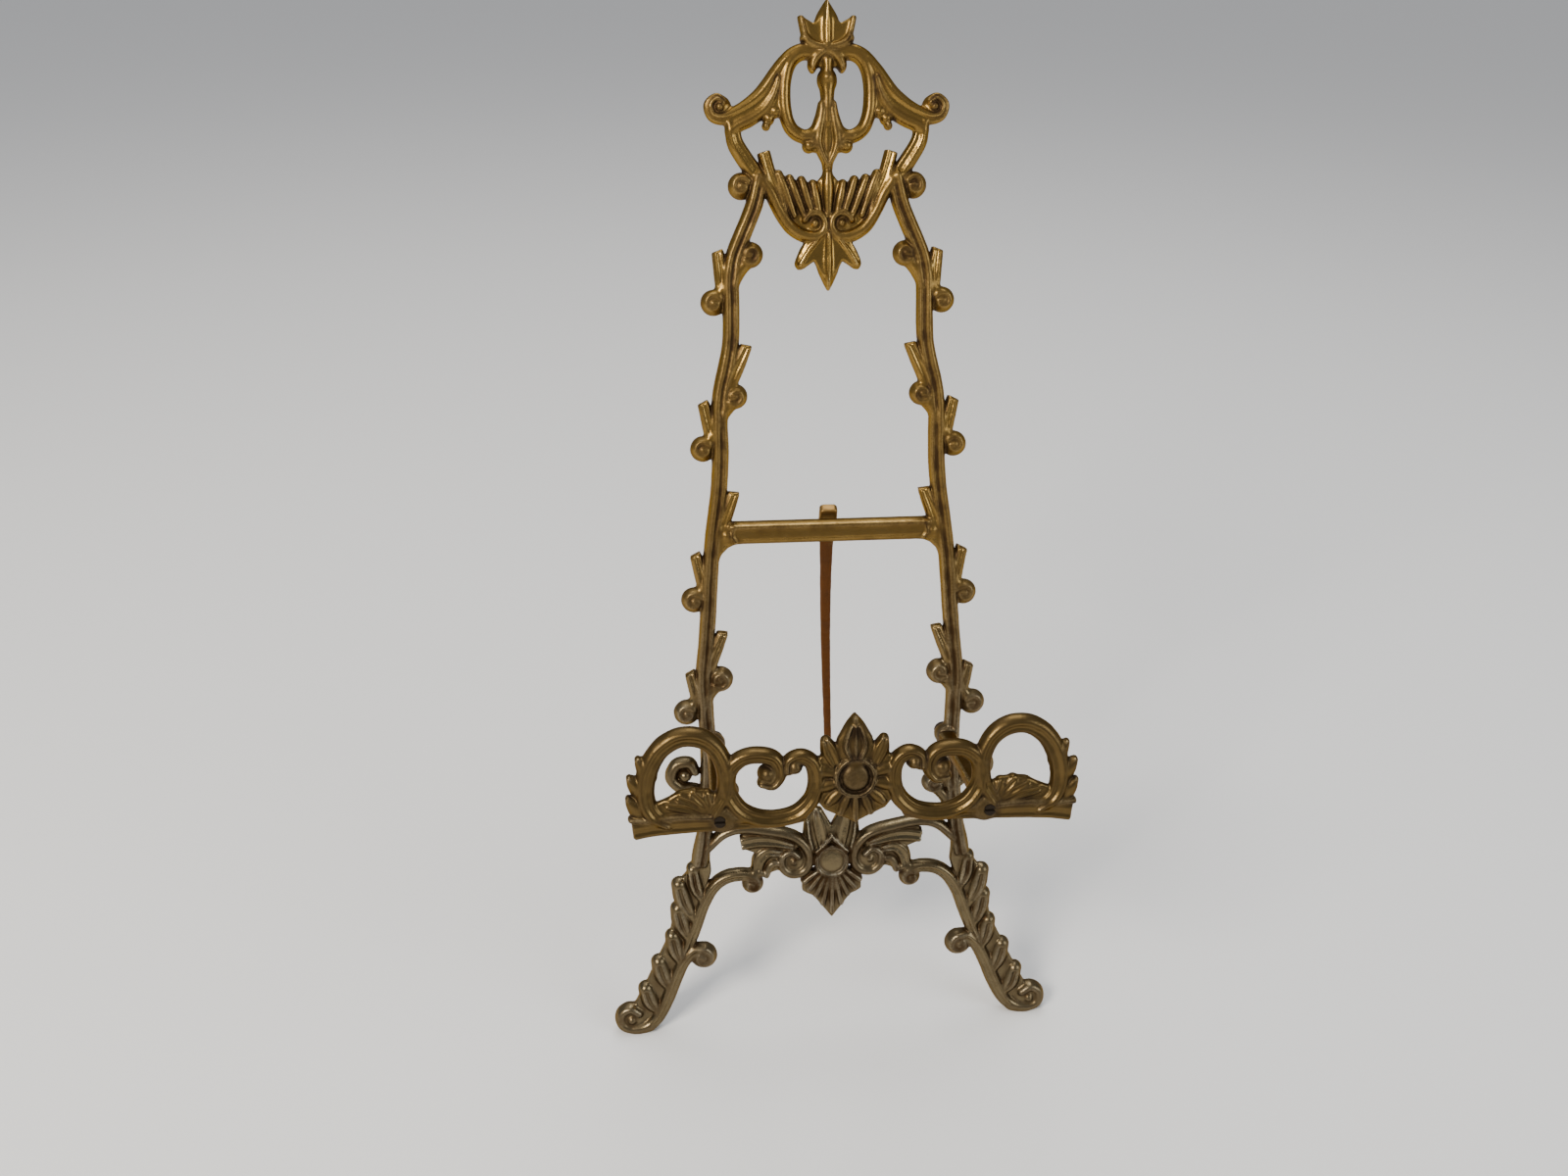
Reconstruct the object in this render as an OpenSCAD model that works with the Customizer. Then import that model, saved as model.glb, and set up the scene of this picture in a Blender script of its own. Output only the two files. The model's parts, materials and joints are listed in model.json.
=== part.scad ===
// Ornate cast brass display easel: a leaning scrollwork frame, a shelf with a
// pierced front fence, and a hinged rear leg. Units are millimetres.
// Drawing axes of the castings: x to the right, u up along the leaning frame,
// w out of the frame towards the viewer. w is 0 on the frame's middle plane.

/* [Size] */
// Height of the frame, measured along its lean (mm)
frame_length = 305; // [280:5:330]
// How far the frame leans back from upright (degrees)
lean_deg = 17; // [12:1:22]
// Gap between the frame and the fence that holds the displayed item (mm)
shelf_gap = 50.5; // [40:0.5:70]

/* [Castings] */
// Depth of the frame casting from its back to the ridge tops (mm)
frame_depth = 5; // [4:0.5:7]
// Depth of the fence casting from its back to the ridge tops (mm)
fence_depth = 4; // [3.5:0.5:6]
// How much of the feet is ground flat to stand without rocking (mm)
foot_grind = 0.9; // [0.4:0.1:1.5]
// Radius of the small fillets left by casting between strokes (mm)
cast_fillet = 0.5; // [0.3:0.1:0.8]

/* [Rear leg] */
// Angle between the rear leg and the frame when the easel is open (degrees)
spread_deg = 36; // [30:1:42]
// Thickness of the rear leg (mm)
leg_depth = 3; // [2.5:0.5:4]
// Sideways sweep of the rear leg's foot (mm)
leg_sweep = 10.5; // [0:0.5:12]
// Diameter of the hinge pin (mm)
pin_d = 2.6; // [2:0.2:3]

/* [Shelf screws] */
// Shank diameter of the screws that hold the fence (mm)
fence_screw_d = 2.2; // [2:0.1:2.5]
// Shank diameter of the screws that hold the arms (mm)
arm_screw_d = 3; // [2.5:0.1:3.2]

/* [Hidden] */
$fn = 24;
outline_fn = 14; // sides of the small round ends in the castings' outlines
k = frame_length / 305; // the castings' outlines are drawn for a 305 mm frame

// frame casting
frame_back = -1.5;
frame_front = frame_back + frame_depth;
ridge_step = 0.62 * frame_depth; // height of the plate under the ridges
ridge_inset = 0.85; // set-back of the ridges from the plate's edge

// crossbar and hinge
bar_low = 158.8; // on the 305 mm drawing, like the outlines
bar_half = 34;
bar_h = 6.4;
rest_low = 163.3; // raised line along the bar, where the displayed item leans
rest_half = 29;
rest_h = 1.4;
rest_rise = 0.4;
hinge_u = 161.2 * k;
bar_top = (bar_low + bar_h) * k - hinge_u; // above the hinge axis
heel_gap = 0.29; // play before the leg's heel stops on the bar's top back edge
hinge_w = frame_back - (bar_top * sin(spread_deg) + leg_depth / 2 + heel_gap) / cos(spread_deg);
pin_r = pin_d / 2;
pin_run = 0.05; // radial running clearance of the leg on the pin
ear_gap = 0.15; // side clearance of the leg's eye between the ears
ear_w = 2;
ear_r = 2.2;
eye_w = 5.2;
eye_r = 3;
ear_in = eye_w / 2 + ear_gap;
pin_reach = ear_in + ear_w; // half length of the pin between its rivet heads
rivet_r = pin_r + 0.7;
rivet_h = 0.8;

// rear leg, drawn hanging from the hinge: x right, v down the leg
hinge_height = hinge_u * cos(lean_deg) + hinge_w * sin(lean_deg) - foot_grind;
leg_from_vertical = spread_deg - lean_deg;
leg_length = hinge_height / cos(leg_from_vertical);
heel_length = 9; // squared heel above the axis
drawn_sweep = 10.5; // sweep for which the leg's middle line is drawn

// shelf
arm_x = 35.5 * k;
arm_u = 97 * k;
arm_w = 6;
arm_h = 4.4;
pad_r = 3.4; // round seats of the arms on the frame
boss_r = 4; // round seats of the screws on the fence
pad_front = frame_front;
fence_back = frame_front + shelf_gap;
fence_front = fence_back + fence_depth;
fence_step = 0.6 * fence_depth;
screw_head_r = 1.5;
screw_head_h = 1.3;
recess_r = 1.65;
recess_depth = 1.6;
fence_screw_length = 10;
arm_head_r = 2.8;
arm_head_h = 1.8;
arm_screw_length = frame_depth + 8;
slot_w = 0.6;
slot_depth = 0.6;
tip_relief = 1; // empty end of each tapped hole past its screw

// whole object: y of the front feet line that centres the open easel
fence_low = 93.2 * k; // lowest ridge of the fence
rear_y = leg_length * sin(leg_from_vertical) + hinge_u * sin(lean_deg) - hinge_w * cos(lean_deg)
    + leg_depth / 2 / cos(leg_from_vertical);
front_y = fence_low * sin(lean_deg) - fence_front * cos(lean_deg);
feet_y = -(rear_y + front_y) / 2;

// One node's name, or all

// ---- curves ----
function blend(a, b, c, d, t) = 0.5 * (2 * b + (c - a) * t + (2 * a - 5 * b + 4 * c - d) * t * t
    + (3 * b - 3 * c + d - a) * t * t * t);
function flow(p, n = 2) = let (m = len(p) - 1) [
    for (i = [0:m - 1]) for (j = [0:n - 1])
        blend(p[max(i - 1, 0)], p[i], p[i + 1], p[min(i + 2, m)], j / n),
    p[m]];
function unit(v) = v / norm(v);
function side(p, i) = let (d = unit(p[min(i + 1, len(p) - 1)] - p[max(i - 1, 0)])) [-d[1], d[0]];

// A stroke along a smooth line, from width a at its start to width b at its end
module stroke(points, a, b, n = 2) {
    p = flow(points, n);
    m = len(p) - 1;
    half = [for (i = [0:m]) (a + (b - a) * i / m) / 2];
    polygon(concat([for (i = [0:m]) p[i] + side(p, i) * half[i]],
        [for (i = [m:-1:0]) p[i] - side(p, i) * half[i]]));
    disc(p[0], a / 2);
    disc(p[m], b / 2);
}

module disc(c, r) translate(c) circle(r = r);

// A squared leaf from its tip to its base
module leaf(tip, base, a = 3, b = 2.4) {
    d = unit(base - tip);
    s = [-d[1], d[0]];
    polygon([tip + s * a / 2, tip - s * a / 2, base - s * b / 2, base + s * b / 2]);
}

// A closed outline that is the same on both sides of x = 0, from its right half
module twin(half) polygon(concat(half, [for (i = [len(half) - 1:-1:0]) [-half[i][0], half[i][1]]]));

module both() {
    children();
    mirror([1, 0]) children();
}

module fillet_cast() {
    $fn = outline_fn;
    offset(r = -cast_fillet, $fn = 8) offset(r = cast_fillet, $fn = 8) children();
}

// ---- outlines of the frame casting ----
module crown() twin([[0, 305], [2.2, 302], [3.5, 299], [7.5, 301.3], [8, 299.5], [6.4, 295.6], [5.5, 292.5],
    [0, 292]]);

module crest_arm() {
    stroke([[3, 293.5], [10, 292.6], [14, 289], [18, 282.5], [22, 279.8], [28, 280.4]], 3.4, 4.4);
    disc([29, 278.3], 3.6);
    stroke([[15, 284], [18.5, 277.5], [23, 274.5], [27, 275.2]], 4, 3);
    disc([16.5, 274.6], 1.7);
}

module crest_ring() {
    stroke([[3.8, 292], [9.3, 289.8], [11.2, 284], [11.2, 277.5], [9.3, 272.8], [6, 271], [2.4, 272.4],
        [0.6, 277]], 3.2, 3);
    disc([5, 268.5], 1.7);
}

module crest_stem() twin([[0, 293], [3, 292.5], [3.9, 290], [2.4, 288.3], [2.6, 286], [1.8, 282], [1.7, 272],
    [2.6, 268], [1.5, 264], [2.5, 260], [0, 260]]);

module crest_corner() stroke([[24.5, 273.5], [24, 268], [21.5, 264], [18.5, 259.5]], 4.6, 4.5);

module pendant_swag() stroke([[19.4, 260.5], [15, 256.2], [12.3, 250.5], [9, 246.6], [4.5, 243.8], [0, 244]],
    4.2, 3.4);

module pendant_shell() {
    twin([[0, 262.5], [4, 259.5], [8, 260.2], [10, 261.2], [12, 261], [14.5, 263], [13.4, 257], [9, 249],
        [4, 244], [0, 244]]);
    disc([3.5, 248.5], 3);
}

module pendant_leaf() twin([[0, 230.8], [3.3, 238], [8, 236.3], [6.5, 240.5], [3, 244.5], [0, 245]]);

rail_line = [[19.5, 260.5], [20.5, 254], [23.8, 245.5], [27, 236], [27.4, 220], [29.4, 208], [31.2, 199],
    [31.5, 181], [33.4, 167], [35.3, 153], [37, 130], [38.2, 118], [37.6, 96], [38, 84], [40, 65], [41, 57]];

// Eyes of the scrolls that spring from the side rail: [x, u, radius]
rail_eyes = [[23.7, 258.3, 3.4], [21.6, 240.2, 3.3], [32.3, 227.3, 3.4], [26.8, 201.4, 3.3],
    [36.4, 186.6, 3.6], [30, 161.5, 1.8], [40.2, 142.1, 3.7], [33.3, 117.5, 3.7], [43.6, 107.3, 3.8],
    [44.5, 87, 4.6], [32.5, 81.5, 3.2]];

// Squared leaves that spring from the side rail: [tip, base]
rail_leaves = [[[18, 267.5], [18, 259]], [[31, 241], [29, 231]], [[22.7, 215], [28.2, 204.5]],
    [[36, 199.5], [33, 189.5]], [[27.2, 173.3], [32, 164]], [[39.7, 155.5], [36.6, 146]],
    [[31.7, 131.5], [36.6, 121.5]], [[42, 119.5], [39.2, 110.5]], [[32.4, 91.2], [36.6, 82]]];

module side_rail() {
    stroke(rail_line, 4.7, 4.7);
    for (e = rail_eyes) disc([e[0], e[1]], e[2]);
    for (l = rail_leaves) leaf(l[0], l[1]);
}

// Fillets where the crossbar meets the rails
module bar_root() polygon([[27, 159], [33, 153], [36, 153], [34, 166], [27, 165.5]]);

// Outer lobes of the leg's leafwork: [tip, base]
leg_lobes = [[[45.5, 58.5], [39, 47]], [[50.7, 53.5], [41.5, 43.5]], [[51, 45.5], [44, 36.5]],
    [[53.3, 36], [46, 30]], [[58, 27.5], [49, 23.5]], [[62.6, 18.5], [53.5, 14]]];

module leg_scroll() {
    stroke([[24, 51.8], [31, 53.3], [36.5, 50.5], [40.5, 45.5], [43.2, 38], [46.5, 29.5]], 4, 5.2);
    disc([24.7, 50], 3.2);
    stroke([[41, 29], [46.5, 26.5], [50, 20.5], [53, 12.5], [56.5, 5.5], [61, 3]], 4, 5);
    disc([41, 26], 4);
    for (l = leg_lobes) leaf(l[0], l[1], 4.2, 4.8);
    stroke([[40.6, 60], [41.5, 53], [44, 45]], 5.5, 5);
    disc([64, 5], 5);
}

module apron() {
    disc([0, 57.5], 6.2);
    twin([[0, 73], [5, 75], [9, 70], [8, 64.5], [16, 67.5], [27, 69.3], [28.5, 65], [28, 62], [24, 61],
        [22.5, 56.5], [26, 53.8], [25.5, 49.5], [17, 52.5], [10.5, 51.5], [9.3, 47], [6, 45.3], [0, 37.8]]);
    both() disc([11.5, 57.5], 5);
    both() stroke([[20, 66], [29, 68.6], [38, 62.5]], 4, 4.5);
}

module frame_outline() scale([k, k]) fillet_cast() {
    crown();
    crest_stem();
    both() {
        crest_arm();
        crest_ring();
        crest_corner();
        pendant_swag();
        side_rail();
        bar_root();
        leg_scroll();
    }
    pendant_shell();
    pendant_leaf();
    translate([-bar_half, bar_low]) square([2 * bar_half, bar_h]);
    apron();
    both() disc([35.5, 97], pad_r / k);
}

// ---- outlines of the fence casting ----
module fence_ring() {
    stroke([[36.5, 101], [33.5, 107.5], [34.8, 115.5], [40, 120.6], [46.5, 120.6], [52, 116.5], [55.6, 109.5],
        [56.3, 102.5], [53.5, 97]], 4.6, 4.8);
    for (b = [[56, 114.3], [58.6, 109], [59, 103.2]]) disc(b, 1.9);
    polygon([[33.5, 94.6], [57.8, 92.4], [57.8, 97], [50.5, 102.8], [42.5, 105.8], [34.5, 100]]);
    disc([34.5, 97], 4);
}

module fence_scroll() {
    stroke([[22.5, 107.2], [24, 112.6], [29, 114.2], [33.2, 109.5], [32.2, 102], [27, 97.2], [21.5, 96.4],
        [15, 97.6], [10.5, 102.3], [9.8, 109], [12.4, 113.6], [17, 113.4]], 4, 4);
    disc([22.3, 109.6], 3.4);
    disc([16.6, 111], 2.8);
}

module fence_flower() {
    disc([0, 107.5], 7.5);
    twin([[0, 124], [4.2, 120.5], [5.2, 115.5], [8.2, 118.5], [10, 113], [11, 107], [9.8, 101], [8.4, 98.6],
        [4.8, 96.8], [0, 94.8]]);
}

module fence_outline() scale([k, k]) fillet_cast() {
    both() {
        fence_ring();
        fence_scroll();
        translate([17, 94.4]) square([18, 4]);
    }
    fence_flower();
}

// ---- solids ----
// Places drawing axes x, u, w on the leaning frame, standing on the ground plane
module on_frame() translate([0, feet_y, -foot_grind]) rotate([90 - lean_deg, 0, 0]) children();

module cast_plate(low, step, depth, inset) {
    translate([0, 0, low]) {
        linear_extrude(height = step) children(0);
        translate([0, 0, step / 2]) linear_extrude(height = depth - step / 2) offset(delta = -inset)
            children(0);
    }
}

// An upright cylinder between two heights along w
module post(x, u, r, low, high) translate([x, u, low]) cylinder(r = r, h = high - low);

module across(x0, x1, r) translate([x0, hinge_u, hinge_w]) rotate([0, 90, 0])
    cylinder(r = r, h = x1 - x0);

module bar_rest() translate([-rest_half * k, rest_low * k, frame_back + 1])
    cube([2 * rest_half * k, rest_h, frame_depth - 1 + rest_rise]);

module below_ground() translate([-100, -200, -20]) cube([200, 400, 20]);

module hinge_ear(x0) {
    across(x0, x0 + ear_w, ear_r);
    translate([x0, hinge_u - ear_r, hinge_w]) cube([ear_w, 2 * ear_r, frame_back + 1 - hinge_w]);
}

module front_frame() color([0.62, 0.47, 0.24]) {
    difference() {
        on_frame() difference() {
            union() {
                cast_plate(frame_back, ridge_step, frame_depth, ridge_inset) frame_outline();
                for (s = [-1, 1]) post(s * arm_x, arm_u, pad_r, frame_back, pad_front);
                for (x = [ear_in, -ear_in - ear_w]) hinge_ear(x);
                bar_rest();
            }
            across(-pin_reach - 1, pin_reach + 1, pin_r);
            for (s = [-1, 1]) post(s * arm_x, arm_u, arm_screw_d / 2, frame_back - 1, pad_front + 1);
        }
        below_ground();
    }
}

// The leg's middle line, as drawn for its usual sweep
leg_line = [[0, 0], [0.6, 14], [2, 40], [3.9, 68], [6.7, 105], [9.3, 140], [drawn_sweep, leg_length / k + 6]];

module leg_outline() {
    scale([1, k]) stroke([for (p = leg_line) [p[0] * leg_sweep / drawn_sweep, p[1]]], 4.2, 2.6);
    translate([-eye_w / 2, -heel_length]) square([eye_w, heel_length + 5]);
}

// Drawn with v down the leg and the leg's back face towards -z
module leg_blank() {
    mirror([0, 1, 0]) translate([0, 0, -leg_depth / 2]) linear_extrude(height = leg_depth) leg_outline();
    translate([-eye_w / 2, 0, 0]) rotate([0, 90, 0]) cylinder(r = eye_r, h = eye_w);
}

module rear_leg() color([0.36, 0.24, 0.14]) difference() {
    on_frame() difference() {
        translate([0, hinge_u, hinge_w]) rotate([spread_deg, 0, 0]) leg_blank();
        across(-eye_w, eye_w, pin_r + pin_run);
    }
    below_ground();
}

module hinge_pin() color([0.55, 0.45, 0.3]) on_frame() {
    across(-pin_reach, pin_reach, pin_r);
    for (x = [-pin_reach - rivet_h, pin_reach]) across(x, x + rivet_h, rivet_r);
}

module fence() on_frame() difference() {
    union() {
        cast_plate(fence_back, fence_step, fence_depth, ridge_inset) fence_outline();
        for (s = [-1, 1]) post(s * arm_x, arm_u, boss_r, fence_back, fence_front);
    }
    for (s = [-1, 1]) {
        post(s * arm_x, arm_u, fence_screw_d / 2, fence_back - 1, fence_front + 1);
        post(s * arm_x, arm_u, recess_r, fence_front - recess_depth, fence_front + 1);
    }
}

module shelf_fence() color([0.45, 0.36, 0.2]) fence();

module shelf_arm(s) color([0.5, 0.38, 0.2]) on_frame() difference() {
    translate([s * arm_x - arm_w / 2, arm_u - arm_h / 2, pad_front]) cube([arm_w, arm_h, shelf_gap]);
    post(s * arm_x, arm_u, arm_screw_d / 2, pad_front - 1,
        frame_back + arm_screw_length + tip_relief);
    post(s * arm_x, arm_u, fence_screw_d / 2,
        fence_front - recess_depth - fence_screw_length - tip_relief, fence_back + 1);
}

module shelf_arm_left() shelf_arm(-1);

module shelf_arm_right() shelf_arm(1);

// The cutter for a screw head's driver slot, between two heights along w
module driver_slot(s, r, low, high) translate([s * arm_x - r - 1, arm_u - slot_w / 2, low])
    cube([2 * r + 2, slot_w, high - low]);

module fence_screw(s) color([0.2, 0.18, 0.16]) on_frame() {
    seat = fence_front - recess_depth;
    top = seat + screw_head_h;
    difference() {
        union() {
            post(s * arm_x, arm_u, screw_head_r, seat, top);
            post(s * arm_x, arm_u, fence_screw_d / 2, seat - fence_screw_length, seat + 0.5);
        }
        driver_slot(s, screw_head_r, top - slot_depth, top + 1);
    }
}

module fence_screw_left() fence_screw(-1);

module fence_screw_right() fence_screw(1);

module arm_screw(s) color([0.3, 0.26, 0.2]) on_frame() difference() {
    low = frame_back - arm_head_h;
    union() {
        post(s * arm_x, arm_u, arm_head_r, low, frame_back);
        post(s * arm_x, arm_u, arm_screw_d / 2, frame_back - 0.5, frame_back + arm_screw_length);
    }
    driver_slot(s, arm_head_r, low - 1, low + slot_depth);
}

module arm_screw_left() arm_screw(-1);

module arm_screw_right() arm_screw(1);

front_frame();
rear_leg();
hinge_pin();
shelf_fence();
shelf_arm_left();
shelf_arm_right();
fence_screw_left();
fence_screw_right();
arm_screw_left();
arm_screw_right();
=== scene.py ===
import json
import math

import bpy
import numpy as np
from mathutils import Matrix, Vector


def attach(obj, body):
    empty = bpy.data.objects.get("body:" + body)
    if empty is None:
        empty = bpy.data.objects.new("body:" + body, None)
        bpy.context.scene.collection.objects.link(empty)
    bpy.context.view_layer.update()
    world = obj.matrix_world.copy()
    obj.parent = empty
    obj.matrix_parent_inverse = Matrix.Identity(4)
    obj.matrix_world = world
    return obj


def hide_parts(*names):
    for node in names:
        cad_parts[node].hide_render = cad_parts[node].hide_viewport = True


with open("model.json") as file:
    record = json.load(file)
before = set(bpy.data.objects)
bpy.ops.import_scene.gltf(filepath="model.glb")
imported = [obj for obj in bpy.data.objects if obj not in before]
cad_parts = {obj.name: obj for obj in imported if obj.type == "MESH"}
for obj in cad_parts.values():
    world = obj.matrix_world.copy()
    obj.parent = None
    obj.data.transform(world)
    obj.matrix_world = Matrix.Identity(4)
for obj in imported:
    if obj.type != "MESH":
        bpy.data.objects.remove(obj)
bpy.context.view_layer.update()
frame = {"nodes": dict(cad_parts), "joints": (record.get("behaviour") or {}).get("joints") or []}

# ---- design values, in millimetres on the castings' drawing axes ----
# x to the right, u up along the leaning frame, w out of it towards the viewer
LEAN = math.radians(17)
SPREAD = math.radians(36)
HINGE_U, HINGE_W = 161.2, -6.619
BACK, FRONT = -1.5, 3.5
FENCE_BACK = 54.0
ARM_X, ARM_U, ARM_HALF, ARM_RISE = 35.5, 97.0, 3.0, 2.2
SCREW_RECESS_R, ARM_SEAT_R = 1.65, 3.3
# the ears run from EAR_IN outwards, and in w from the hinge's axis into the frame casting
EAR_IN, EAR_THICK, EAR_R, EAR_REACH = 2.75, 2.0, 2.2, -0.4
EYE_HALF, EYE_R = 2.6, 3.0
LEG_HALF = 1.45
MM = 0.001

# ---- mesh detail: grid steps in millimetres, and the most triangles of one piece ----
GRID, FINE_GRID, EAR_GRID = 0.36, 0.29, 0.3
MOST_FACES = 190000

hinge = Vector(frame["joints"][0]["pos_m"]) / MM
ALONG = Vector((0, math.sin(LEAN), math.cos(LEAN)))
OUT = Vector((0, -math.cos(LEAN), math.sin(LEAN)))
ORIGIN = hinge - HINGE_U * ALONG - HINGE_W * OUT


def placement(origin, up, out):
    """The matrix that takes drawing millimetres to metres in the row frame."""
    across = up.cross(out)
    m = Matrix((across, up, out)).transposed().to_4x4()
    return Matrix.Translation(origin * MM) @ m @ Matrix.Scale(MM, 4)


ON_FRAME = placement(ORIGIN, ALONG, OUT)


# ---- sculpting: a casting is a distance field on a grid, meshed at the end ----
def spline(points, steps=6):
    """A smooth line through the points, each with the values that follow it, such as a half width."""
    p = np.array(points, float)
    if len(p) < 3:
        return p
    q = np.vstack([2 * p[0] - p[1], p, 2 * p[-1] - p[-2]])
    t = np.linspace(0, 1, steps, endpoint=False)[:, None]
    rows = []
    for a, b, c, d in zip(q, q[1:], q[2:], q[3:]):
        rows.append(0.5 * (2 * b + (c - a) * t + (2 * a - 5 * b + 4 * c - d) * t ** 2
                           + (3 * b - 3 * c + d - a) * t ** 3))
    return np.vstack(rows + [p[-1:]])


def beside(points, by):
    """The line that runs beside another one, that far out to its side."""
    p = np.array(points, float)
    d = np.gradient(p[:, :2], axis=0)
    d /= np.linalg.norm(d, axis=1)[:, None]
    return [(x - by * du, u + by * dx) for (x, u), (dx, du) in zip(p[:, :2], d)]


def smooth_min(a, b, k):
    """The smaller of two fields, with a fillet where they are less than k apart."""
    h = np.maximum(k - np.abs(a - b), 0) / k
    return np.minimum(a, b) - h * h * k / 4


# cross sections: a groove or a rib along the stroke, at a place from -1 to 1 across it
ROUND = dict(groove=0.0, rib=0.0, at=0.0)
GROOVED = dict(groove=0.3, rib=0.0, at=0.0)
EDGED = dict(groove=0.28, rib=0.0, at=0.25)
RIBBED = dict(groove=0.0, rib=0.35, at=0.0)

# the fields' limits, in millimetres where they are lengths
EMPTY = 6.0  # an empty grid's value
UNREACHED = 1e9  # further than any column is from a line
ROUND_END = -9.0  # how far past a squared end a column is, where the end is round
PROFILE_WIDTH = 0.34  # the spread of a groove or rib, over the half width
WIDEST_SCALE = 2.2  # a stroke's field is scaled by its half width, up to this one
NARROWEST = 0.2  # the least half width of a stroke
BARREL_EDGE = 0.35  # the rounding of a bar's ends
# how far outside the surface hollows are sampled, and how far inside it ridges are
HOLLOW_REACH, RIDGE_REACH = 1.1, 0.9


class Casting:
    """One cast piece. Its strokes are rounded strands of metal between a back plane and a crest
    height."""

    def __init__(self, x, u, w, step, back, blend=0.45):
        self.axes = [np.arange(lo, hi + step, step).astype(np.float32) for lo, hi in (x, u, w)]
        self.step, self.back, self.k = step, back, blend
        self.field = np.full([len(a) for a in self.axes], EMPTY, np.float32)

    def window(self, x0, x1, u0, u1, pad=2.2):
        """The grid's slices in x and u around a rectangle, or None outside the grid."""
        cut = []
        for a, lo, hi in zip(self.axes, (x0, u0), (x1, u1)):
            i, j = np.searchsorted(a, [lo - pad, hi + pad])
            if j - i < 2:
                return None
            cut.append(slice(max(i - 1, 0), j + 1))
        return tuple(cut)

    def columns(self, cut):
        """The x and u of every column of the grid within the slices."""
        return np.meshgrid(self.axes[0][cut[0]], self.axes[1][cut[1]], indexing="ij")

    def lateral(self, line, x, u, square):
        """For each column: its distance from the line over the half width, the side it is on from
        -1 to 1, the half width, the crest height, and how far past a squared end it is."""
        best = np.full(x.shape, UNREACHED)
        side = np.zeros(x.shape)
        half = np.ones(x.shape)
        rise = np.ones(x.shape)
        if len(line) == 1:
            (cx, cu, r, top) = line[0]
            d = np.hypot(x - cx, u - cu) / r
            return d, d * 0, half * r, rise * top, half * ROUND_END
        for (ax, au, ar, at), (bx, bu, br, bt) in zip(line, line[1:]):
            dx, du = bx - ax, bu - au
            size = dx * dx + du * du
            if size < 1e-9:
                continue
            t = np.clip(((x - ax) * dx + (u - au) * du) / size, 0, 1)
            r = ar + (br - ar) * t
            d = np.hypot(x - ax - dx * t, u - au - du * t) / r
            nearer = d < best
            s = ((x - ax) * du - (u - au) * dx) / (math.sqrt(size) * r)
            best = np.where(nearer, d, best)
            side = np.where(nearer, np.clip(s, -1, 1), side)
            half = np.where(nearer, r, half)
            rise = np.where(nearer, at + (bt - at) * t, rise)
        past = np.full(x.shape, ROUND_END)
        for on, (a, b) in zip(square, ((line[1], line[0]), (line[-2], line[-1]))):
            if on:
                d = np.array(b[:2]) - np.array(a[:2])
                d = d / np.hypot(*d)
                past = np.maximum(past, (x - b[0]) * d[0] + (u - b[1]) * d[1])
        return best, side, half, rise, past

    def strand(self, points, r=None, top=2.9, base=0.0, square=(0, 0), profile=ROUND, k=None,
               power=2.0, steps=6):
        """Adds a stroke. points are (x, u), then a half width and a crest height unless r and top
        give them. square marks the ends that are cut off straight, power is 2 for a round section
        and more for a boxy one, and k is the fillet to what is there already."""
        p = [(q[0], q[1], q[2] if r is None else r, q[3] if len(q) > 3 else top) for q in points]
        line = spline(p, steps)
        line[:, 2] = np.maximum(line[:, 2], NARROWEST)
        wide = line[:, 2].max()
        cut = self.window(line[:, 0].min() - wide, line[:, 0].max() + wide,
                          line[:, 1].min() - wide, line[:, 1].max() + wide)
        if cut is None:
            return
        x, u = self.columns(cut)
        q, side, half, rise, past = self.lateral(line, x, u, square)
        side = np.exp(-((side - profile["at"]) / PROFILE_WIDTH) ** 2)
        rise = (rise - base) * (1 - profile["groove"] * side - profile["rib"] * (1 - side))
        z = self.axes[2][None, None, :] - base
        high = np.where(z > 0, z / rise[..., None], z / (self.back - base))
        f = (q[..., None] ** power + high ** power) ** (1 / power) - 1
        f = f * np.minimum(half, WIDEST_SCALE)[..., None]
        f = np.maximum(f, past[..., None])
        self.field[cut] = smooth_min(self.field[cut], f.astype(np.float32), k or self.k)

    def ball(self, x, u, r, top, **more):
        """Adds a domed bead."""
        self.strand([(x, u)], r, top, **more)

    def ring(self, x, u, radius, r, top, **more):
        """Adds a round rim of half width r."""
        turn = np.linspace(0, 2 * np.pi, 25)
        rim = [(x + radius * math.cos(a), u + radius * math.sin(a)) for a in turn]
        self.strand(rim, r, top, steps=1, **more)

    def curl(self, x, u, radius, start, turn, top=3.1):
        """Adds a scroll's wound end around its eye. It starts at the angle start on its rim and winds
        inwards by turn degrees, clockwise if negative."""
        r = 0.36 * radius
        pts = []
        for f in np.linspace(0, 1, 15):
            a = math.radians(start + turn * f)
            reach = (radius - r) * (1 - 0.42 * f)
            pts.append((x + reach * math.cos(a), u + reach * math.sin(a), r * (1 - 0.15 * f), top))
        self.strand([(x, u)], radius, top - 0.7, power=2.4)
        self.strand(pts, steps=2, k=0.5)
        self.ball(x, u, 0.42 * radius, top + 0.25, k=0.5)

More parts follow.
